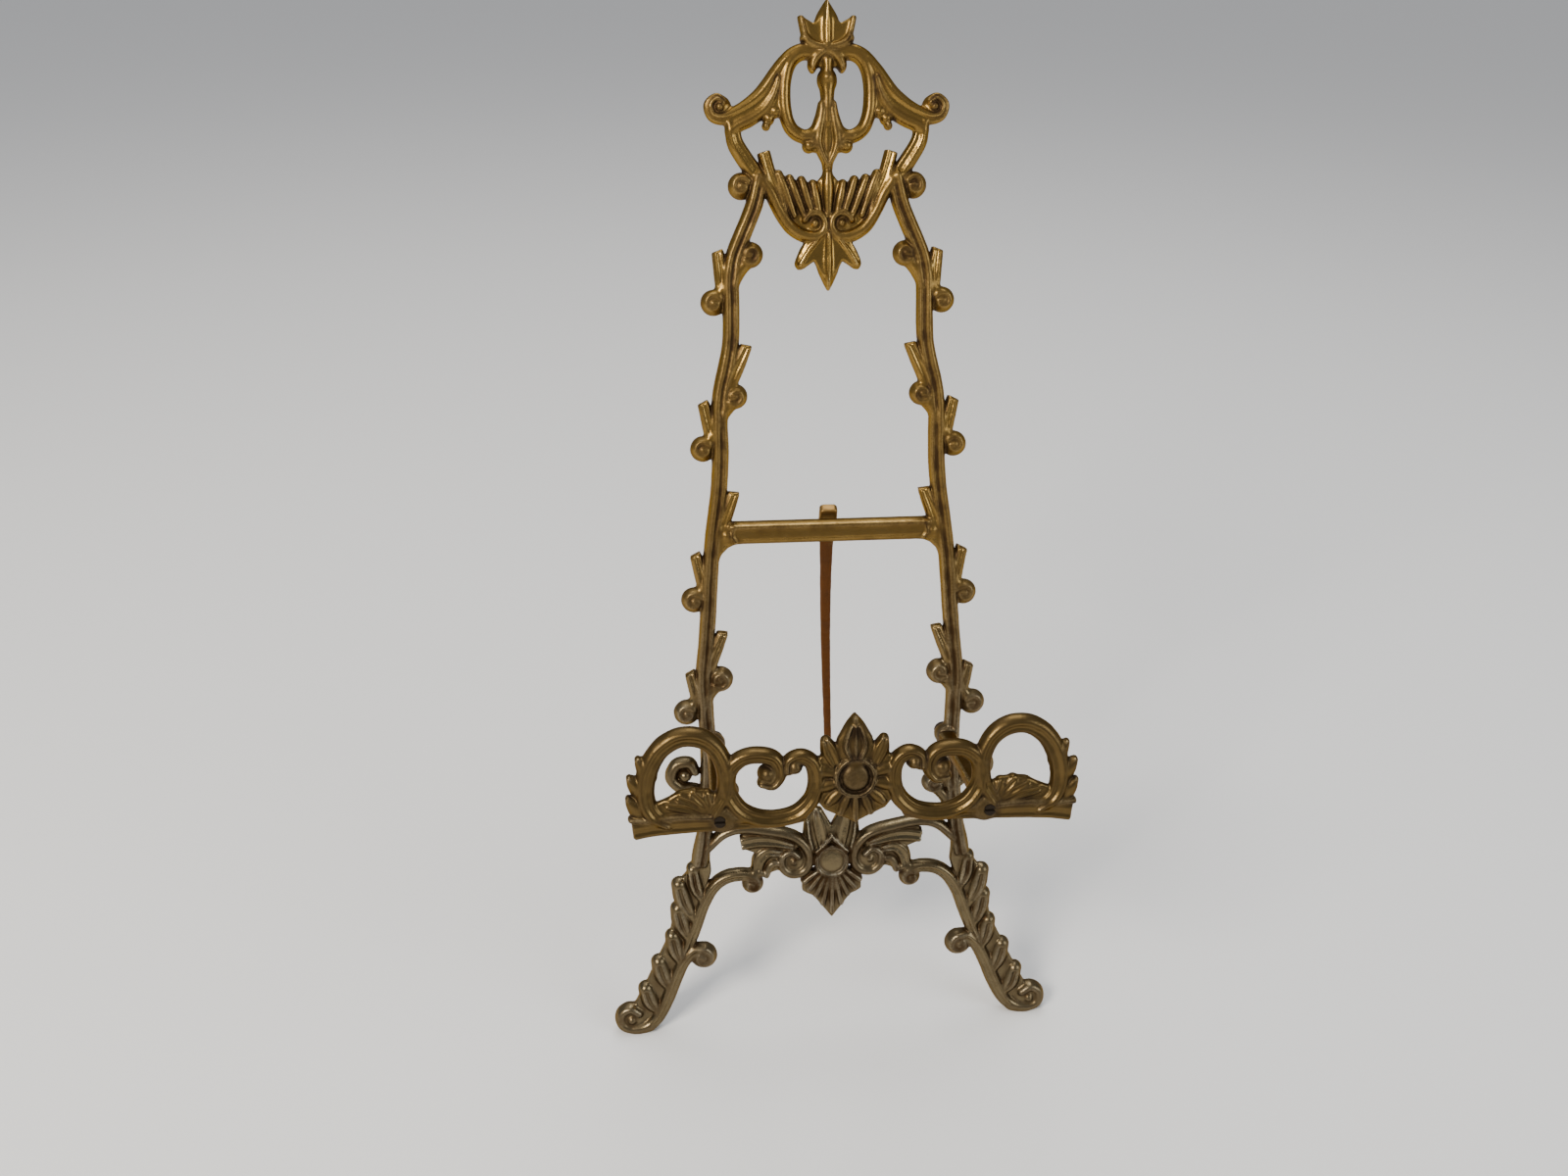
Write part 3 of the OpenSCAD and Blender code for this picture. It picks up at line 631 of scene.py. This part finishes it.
def fence_casting():
    """The pierced fence in front of the displayed item, with recesses for its two screws."""
    c = Casting((0, 64), (88, 127), (-0.9, 5.6), FINE_GRID, -0.01)
    # the flower: a solid leafy ground, then its petals and rays
    c.plate([(-1, 123), (2.2, 121.6), (4.6, 118), (5.2, 115.6), (7.4, 118.6), (8.8, 117.4), (9, 113.6),
             (10.4, 112), (10.4, 104), (9.6, 100.6), (8, 98.4), (4.6, 96.8), (0, 94.6), (-1, 95)], 2.4, 0.9)
    c.ball(0, FLOWER_U, 4.3, 4.1, power=3)
    c.ring(0, FLOWER_U, 5.0, 1.0, 4.0, k=0.2)
    c.strand([(0, 111, 3.2), (0, 114.6, 4.7), (0, 117.6, 4.2), (0, 121, 2.5), (0, 124, 0.6)], top=3.6,
             base=0.8)
    for x in (0, 2.6):
        c.strand([(0.5 * x, 113, 0.7), (x, 116.4, 0.8), (0.4 * x, 121.6, 0.5)], top=4.3, base=0.8)
    c.strand([(5.2, 111.4, 1.9), (6.6, 114.6, 2.4), (7.6, 117.4, 1.4)], top=3.5, base=0.8,
             profile=GROOVED, k=0.3)
    for angle, far, r in ((0, 12.8, 1.5), (22, 11.8, 1.7), (46, 11.4, 2.0), (74, 10.6, 2.2),
                          (103, 10.4, 2.1)):
        a = math.radians(angle)
        along = ((5, 0.8 * r), (8, r), (far - 0.7 * r, 0.7 * r))
        c.strand([(s * math.sin(a), FLOWER_U - s * math.cos(a), w) for s, w in along], top=3.5, base=0.8,
                 k=0.25)
    # the C-scroll beside it, open at the top
    c.strand([(24.2, 106.6, 1.4), (21.4, 106.3, 1.8), (19.7, 109.2, 2.1), (21, 112.9, 2.2), (25, 114.2, 2.3),
              (29.6, 113.4, 2.3), (33, 109.8, 2.4), (33.1, 104.4, 2.4), (30.2, 99.4, 2.4), (25.4, 96.8, 2.4),
              (20, 96.4, 2.4), (14.8, 98, 2.4), (11.2, 102, 2.3), (10.1, 107, 2.3), (11.1, 111.4, 2.2),
              (14, 113.4, 2.1), (17, 112.4, 1.9), (17.4, 109.8, 1.6)], top=3.8, base=0.8,
             profile=EDGED, k=0.4)
    c.ball(22.9, 109, 2.6, 3.9, k=0.5)
    c.ball(15.6, 110.6, 2.1, 3.8, k=0.5)
    # short leaves on the outside of the big open ring, then the ring
    for x, u in ((56, 114.4), (58.4, 109.4), (58.8, 103.8)):
        c.strand([(x - 2.6, u - 4.8, 2.2, 2.6), (x - 1.5, u - 2, 2.2, 3.2), (x, u, 0.9, 3.0)], base=0.8,
                 k=0.3)
    c.strand([(37, 99, 2.0), (34.2, 104, 2.3), (33.6, 110, 2.4), (35.6, 115.8, 2.5), (39.8, 119.4, 2.7),
              (45.4, 119.8, 2.7), (50.4, 116.7, 2.7), (53.6, 111.2, 2.7), (54.6, 104.6, 2.6), (53, 99.4, 2.4),
              (49, 96.6, 1.8)], top=3.9, base=0.8, profile=EDGED, k=0.35)
    # fan leaf, bottom bar and squared tail
    c.plate([(33, 94.6), (58, 92.6), (58.4, 97.2), (54.6, 100.4), (51.4, 102.6), (48.8, 103.6), (45.6, 105.4),
             (42.2, 105.8), (38.8, 105.4), (35, 104)], 2.3, 0.9)
    for x, u, r in ((38.6, 104, 1.8), (42, 104.4, 2.0), (45.4, 103.6, 2.0), (48.4, 101.8, 2.0)):
        c.strand([(36.6, 97.6, 1.0, 2.6), (0.55 * x + 16.9, 0.55 * u + 44.6, r, 3.3), (x, u, 0.85 * r, 3.2)],
                 base=0.6, profile=GROOVED, k=0.25)
    c.strand([(14, 96.6, 1.4), (24, 96, 1.8), (34, 96, 2.2), (44, 96, 2.4), (52, 95.7, 2.5),
              (57.8, 94.9, 2.8)], top=2.9, base=0.6, square=(0, 1), k=0.5, power=3, profile=EDGED)
    c.strand([(38, 98, 0.8), (46, 98.4, 1.2), (53, 97.8, 1.3), (58.4, 98, 0.9)], top=3.4, base=0.6, k=0.4)
    c.ball(ARM_X - 1, ARM_U, 3.8, 3.6, power=3)
    c.mirror()
    for s in (-1, 1):
        c.carve([(s * ARM_X, ARM_U), (s * ARM_X, ARM_U + 0.01)], SCREW_RECESS_R, 4.6, 0.2, deep=2.2)
    return c.build("fence_casting", ON_FRAME @ Matrix.Translation((0, 0, FENCE_BACK)), rough=0.07)


# ---- the shelf's arms ----
ARM_WAIST, ARM_DIP = 0.6, 0.3  # how much narrower and lower an arm is at its middle
ARM_BOXY = 0.6  # 1 gives an oval section, less a boxier one
ARM_EASE = 0.6  # less brings the waist closer to the arm's ends


def shelf_arm(name, side):
    """A cast arm with rounded edges and a flat top, broader where it meets the frame and the fence."""
    rings, sides = 48, 40
    rows, hollow, ridge = [], [], []
    for t in np.linspace(0, 1, rings + 1):
        waist = math.sin(math.pi * t) ** ARM_EASE
        half, rise = ARM_HALF - ARM_WAIST * waist, ARM_RISE - ARM_DIP * waist
        for a in np.linspace(0, 2 * math.pi, sides, endpoint=False):
            x, u = (math.copysign(abs(v) ** ARM_BOXY, v) for v in (math.cos(a), math.sin(a)))
            rows.append((side * ARM_X + half * x, ARM_U + ARM_RISE - rise + rise * u,
                         FRONT + t * (FENCE_BACK - FRONT)))
            hollow.append(0.7 * abs(2 * t - 1) ** 14)
            ridge.append(abs(math.sin(2 * a)) ** 3)
    faces = []
    for i in range(rings):
        low, high = i * sides, (i + 1) * sides
        faces += [(low + j, low + (j + 1) % sides, high + (j + 1) % sides, high + j) for j in range(sides)]
    faces += [tuple(range(sides - 1, -1, -1)), tuple(range(rings * sides, (rings + 1) * sides))]
    mesh = bpy.data.meshes.new(name)
    mesh.from_pydata([ON_FRAME @ Vector(row) for row in rows], [], faces)
    for key, values in (("hollow", hollow), ("ridge", ridge)):
        mesh.attributes.new(key, "FLOAT", "POINT").data.foreach_set("value", values)
    mesh.shade_smooth()
    arm = bpy.data.objects.new(name, mesh)
    bpy.context.scene.collection.objects.link(arm)
    return arm


# ---- the rear leg, drawn down from the hinge ----
def rear_leg():
    """The thin rear leg. The hinge pin runs through its eye, which is left solid."""
    down = Vector((0, math.sin(LEAN - SPREAD), math.cos(LEAN - SPREAD)))
    facing = Vector((0, -math.cos(LEAN - SPREAD), math.sin(LEAN - SPREAD)))
    c = Casting((-4, 14), (-165, 12), (-3.8, 3.8), GRID, -LEG_HALF, 0.3)
    c.strand([(0, 2, 2.1), (0.25, -6, 2.1), (0.7, -16, 1.85), (2, -40, 1.65), (3.9, -68, 1.5),
              (6.7, -105, 1.35), (9.2, -138, 1.3), (10.4, -162, 1.3)], top=LEG_HALF, power=2.8)
    # the squared head that stops the leg against the crossbar, then the eye
    c.plate([(-EYE_HALF, -3.5), (EYE_HALF, -3.5), (EYE_HALF, 8.4), (1.8, 9), (-1.8, 9), (-EYE_HALF, 8.4)],
            LEG_HALF, 0.5)
    c.barrel(-EYE_HALF, EYE_HALF, 0, 0, EYE_R)
    return c.build("rear_leg_bar", placement(hinge, down, facing), rough=0.05, ground=0.0)


# ---- materials ----
# where each effect starts and where it is full: tarnish in the hollows and its blotches, wear on the
# ridges and what breaks it up
HOLLOW_SPAN, BLOTCH_SPAN = (0.15, 0.78), (0.42, 0.75)
RIDGE_SPAN, SPECK_SPAN = (0.35, 0.85), (0.25, 0.6)
BLOTCH_SCALE, SPECK_SCALE, GRAIN_SCALE = 220.0, 1600.0, 420.0
BLOTCH_SHARE, SPECK_SHARE = 0.33, 0.4
GRAIN_STRENGTH, GRAIN_HEIGHT = 0.22, 0.0004
# how much tarnish roughens and dulls the metal, and how much wear polishes it
TARNISH_ROUGHENS, TARNISH_DULLS, WEAR_POLISHES = 0.25, 0.35, 0.1
REFLECTION_WANDER = 0.02  # blotches lower the height where the painted reflection and painted shade take over by up to this, in metres
HIGHLIGHT = (0.6, 0.46, 0.32, 1)


def material(name, light, dark, ridge, roughness, metal, low=None, reflection_heights=(0.17, 0.1)):
    """Aged cast metal: a patina that darkens the hollows, worn ridges and cast grain. low gives other colours
    for light and ridge, which take over between two given heights in metres: a painted reflection and painted
    shade that change the colour with height."""
    m = bpy.data.materials.new(name)
    m.use_nodes = True
    tree = m.node_tree
    out = tree.nodes["Material Output"]
    tree.nodes.remove(tree.nodes["Principled BSDF"])

    def add(kind, **values):
        node = tree.nodes.new(kind)
        for key, v in values.items():
            setattr(node, key, v)
        return node

    def join(a, b):
        tree.links.new(a, b)

    def attribute(key):
        return add("ShaderNodeAttribute", attribute_name=key).outputs["Fac"]

    def span(value, low, high):
        """0 where the value is low, 1 where it is high."""
        node = add("ShaderNodeMapRange")
        node.clamp = True
        join(value, node.inputs["Value"])
        node.inputs["From Min"].default_value, node.inputs["From Max"].default_value = low, high
        return node.outputs["Result"]

    def mix(share, a, b):
        """The colour a where the share is 0, b where it is 1."""
        node = add("ShaderNodeMix", data_type="RGBA")
        if isinstance(share, float):
            node.inputs["Factor"].default_value = share
        else:
            join(share, node.inputs["Factor"])
        for value, socket in ((a, node.inputs[6]), (b, node.inputs[7])):
            if isinstance(value, tuple):
                socket.default_value = (*value, 1)
            else:
                join(value, socket)
        return node.outputs[2]

    def maths(kind, a, b):
        node = add("ShaderNodeMath", operation=kind)
        for value, socket in ((a, node.inputs[0]), (b, node.inputs[1])):
            if isinstance(value, float):
                socket.default_value = value
            else:
                join(value, socket)
        return node.outputs[0]

    where = add("ShaderNodeTexCoord").outputs["Object"]

    def noise(scale, detail=4.0):
        node = add("ShaderNodeTexNoise")
        join(where, node.inputs["Vector"])
        node.inputs["Scale"].default_value = scale
        node.inputs["Detail"].default_value = detail
        return node.outputs["Fac"]

    blotch = noise(BLOTCH_SCALE)
    speck = noise(SPECK_SCALE, 3.0)
    tarnish = span(attribute("hollow"), *HOLLOW_SPAN)
    deep = maths("ADD", tarnish, maths("MULTIPLY", span(blotch, *BLOTCH_SPAN), BLOTCH_SHARE))
    deep = span(deep, 0.0, 1.0)
    worn = maths("MULTIPLY", span(attribute("ridge"), *RIDGE_SPAN), span(speck, *SPECK_SPAN))
    worn = maths("MULTIPLY", worn, maths("SUBTRACT", 1.0, deep))
    # painted reflection and painted shade: below the given heights the light and ridge colours turn to the
    # low ones
    if low:
        split = add("ShaderNodeSeparateXYZ")
        join(where, split.inputs[0])
        height = maths("ADD", split.outputs["Z"], maths("MULTIPLY", blotch, REFLECTION_WANDER))
        painted_reflection_share = span(height, *reflection_heights)
        light, ridge = mix(painted_reflection_share, light, low[0]), mix(painted_reflection_share, ridge, low[1])
    colour = mix(deep, light, dark)
    colour = mix(worn, colour, ridge)
    shader = add("ShaderNodeBsdfPrincipled")
    join(colour, shader.inputs["Base Color"])
    dullness = maths("ADD", roughness, maths("MULTIPLY", deep, TARNISH_ROUGHENS))
    dullness = maths("SUBTRACT", dullness, maths("MULTIPLY", worn, WEAR_POLISHES))
    join(dullness, shader.inputs["Roughness"])
    metallic = maths("SUBTRACT", metal, maths("MULTIPLY", deep, TARNISH_DULLS))
    join(metallic, shader.inputs["Metallic"])
    shader.inputs["Specular Tint"].default_value = HIGHLIGHT
    bump = add("ShaderNodeBump")
    bump.inputs["Strength"].default_value = GRAIN_STRENGTH
    bump.inputs["Distance"].default_value = GRAIN_HEIGHT
    grain = maths("ADD", noise(GRAIN_SCALE, 5.0), maths("MULTIPLY", speck, SPECK_SHARE))
    join(grain, bump.inputs["Height"])
    join(bump.outputs["Normal"], shader.inputs["Normal"])
    join(shader.outputs["BSDF"], out.inputs["Surface"])
    return m


def plain(name, colour, roughness):
    """One even colour."""
    m = bpy.data.materials.new(name)
    m.use_nodes = True
    s = m.node_tree.nodes["Principled BSDF"]
    s.inputs["Base Color"].default_value = (*colour, 1)
    s.inputs["Roughness"].default_value = roughness
    return m


# its low colours are a painted reflection of the surroundings: greyer lower down, with paler grey painted
# highlights on the ridges
brass = material("aged_brass", light=(0.25, 0.15, 0.038), dark=(0.035, 0.018, 0.006),
                 ridge=(0.48, 0.32, 0.11), roughness=0.24, metal=0.97,
                 low=((0.15, 0.115, 0.062), (0.4, 0.35, 0.25)))
dark_brass = material("dark_brass", light=(0.108, 0.069, 0.024), dark=(0.022, 0.013, 0.006),
                      ridge=(0.31, 0.235, 0.125), roughness=0.29, metal=0.93)
# the leg's colours hold painted shade and a painted reflection: bright brass at its head, darker and redder
# below the crossbar
leg_brass = material("leg_brass", light=(0.27, 0.16, 0.05), dark=(0.03, 0.012, 0.005),
                     ridge=(0.4, 0.26, 0.12), roughness=0.36, metal=0.88,
                     low=((0.11, 0.042, 0.014), (0.2, 0.1, 0.05)), reflection_heights=(0.164, 0.158))
steel = material("dull_steel", light=(0.02, 0.015, 0.011), dark=(0.01, 0.008, 0.006),
                 ridge=(0.08, 0.065, 0.05), roughness=0.5, metal=0.65)


def finish(piece, body, nodes, surface):
    """Hangs a piece on its body, with the CAD nodes it stands for and its material."""
    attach(piece, body)
    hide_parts(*nodes)
    piece.data.materials.append(surface)


finish(frame_casting(), "stand", ["front_frame"], brass)
finish(hinge_ears(), "stand", ["front_frame"], brass)
finish(fence_casting(), "stand", ["shelf_fence"], dark_brass)
finish(rear_leg(), "rear_leg", ["rear_leg"], leg_brass)
for name, side in (("left", -1), ("right", 1)):
    finish(shelf_arm("arm_casting_" + name, side), "stand", ["shelf_arm_" + name], dark_brass)

for node, surface in (("hinge_pin", leg_brass), ("fence_screw_left", steel), ("fence_screw_right", steel),
                      ("arm_screw_left", steel), ("arm_screw_right", steel)):
    cad = frame["nodes"][node]
    cad.data.materials.clear()
    cad.data.materials.append(surface)

# ---- stage ----
bpy.ops.mesh.primitive_plane_add(size=60)
floor = bpy.context.object
floor.name = "floor"
floor.data.materials.append(plain("floor_paper", (0.72, 0.71, 0.69), 0.85))

world = bpy.data.worlds.new("studio")
bpy.context.scene.world = world
world.use_nodes = True
world.node_tree.nodes["Background"].inputs["Color"].default_value = (0.82, 0.86, 0.95, 1)
world.node_tree.nodes["Background"].inputs["Strength"].default_value = 0.36


def lamp(name, place, aim, size, power, colour):
    """A soft lamp at a place, turned towards another one, in metres and watts."""
    data = bpy.data.lights.new(name, "AREA")
    data.size, data.energy, data.color = size, power, colour
    light = bpy.data.objects.new(name, data)
    light.location = place
    light.rotation_euler = (Vector(aim) - Vector(place)).to_track_quat("-Z", "Y").to_euler()
    bpy.context.scene.collection.objects.link(light)


MIDDLE = (0, 0, 0.15)
lamp("key", (-0.75, -0.7, 0.95), MIDDLE, 0.45, 22, (1, 0.95, 0.87))
lamp("fill", (0.9, -0.5, 0.6), MIDDLE, 0.6, 6, (0.9, 0.95, 1))
lamp("top", (0.1, 0.5, 1.2), MIDDLE, 0.6, 5, (1, 1, 1))
sky = bpy.data.lights.new("sky", "SUN")
sky.energy, sky.angle = 0.8, math.radians(60)
overhead = bpy.data.objects.new("sky", sky)
overhead.rotation_euler = (math.radians(-20), math.radians(-8), 0)
bpy.context.scene.collection.objects.link(overhead)

# ---- camera: in front, a little to the left, looking down at the easel ----
YAW, PITCH, ROLL = math.radians(-4.92), math.radians(30.6), math.radians(-0.65)
LENS, SENSOR = 28.125, 36
CAMERA_AT = Vector((-40.4, -269.0, 323.3)) + Vector((0, ORIGIN.y, ORIGIN.z))
right = Vector((math.cos(YAW), math.sin(YAW), 0))
level = Vector((-math.sin(YAW), math.cos(YAW), 0))
ahead = math.cos(PITCH) * level + math.sin(PITCH) * Vector((0, 0, -1))
down = ahead.cross(right)
across = math.cos(ROLL) * right + math.sin(ROLL) * down
up = math.sin(ROLL) * right - math.cos(ROLL) * down
view = bpy.data.cameras.new("camera")
view.sensor_width, view.lens = SENSOR, LENS
view.clip_start = 0.01
camera = bpy.data.objects.new("camera", view)
turned = Matrix((across, up, -ahead)).transposed().to_4x4()
camera.matrix_world = Matrix.Translation(CAMERA_AT * MM) @ turned
bpy.context.scene.collection.objects.link(camera)
bpy.context.scene.camera = camera
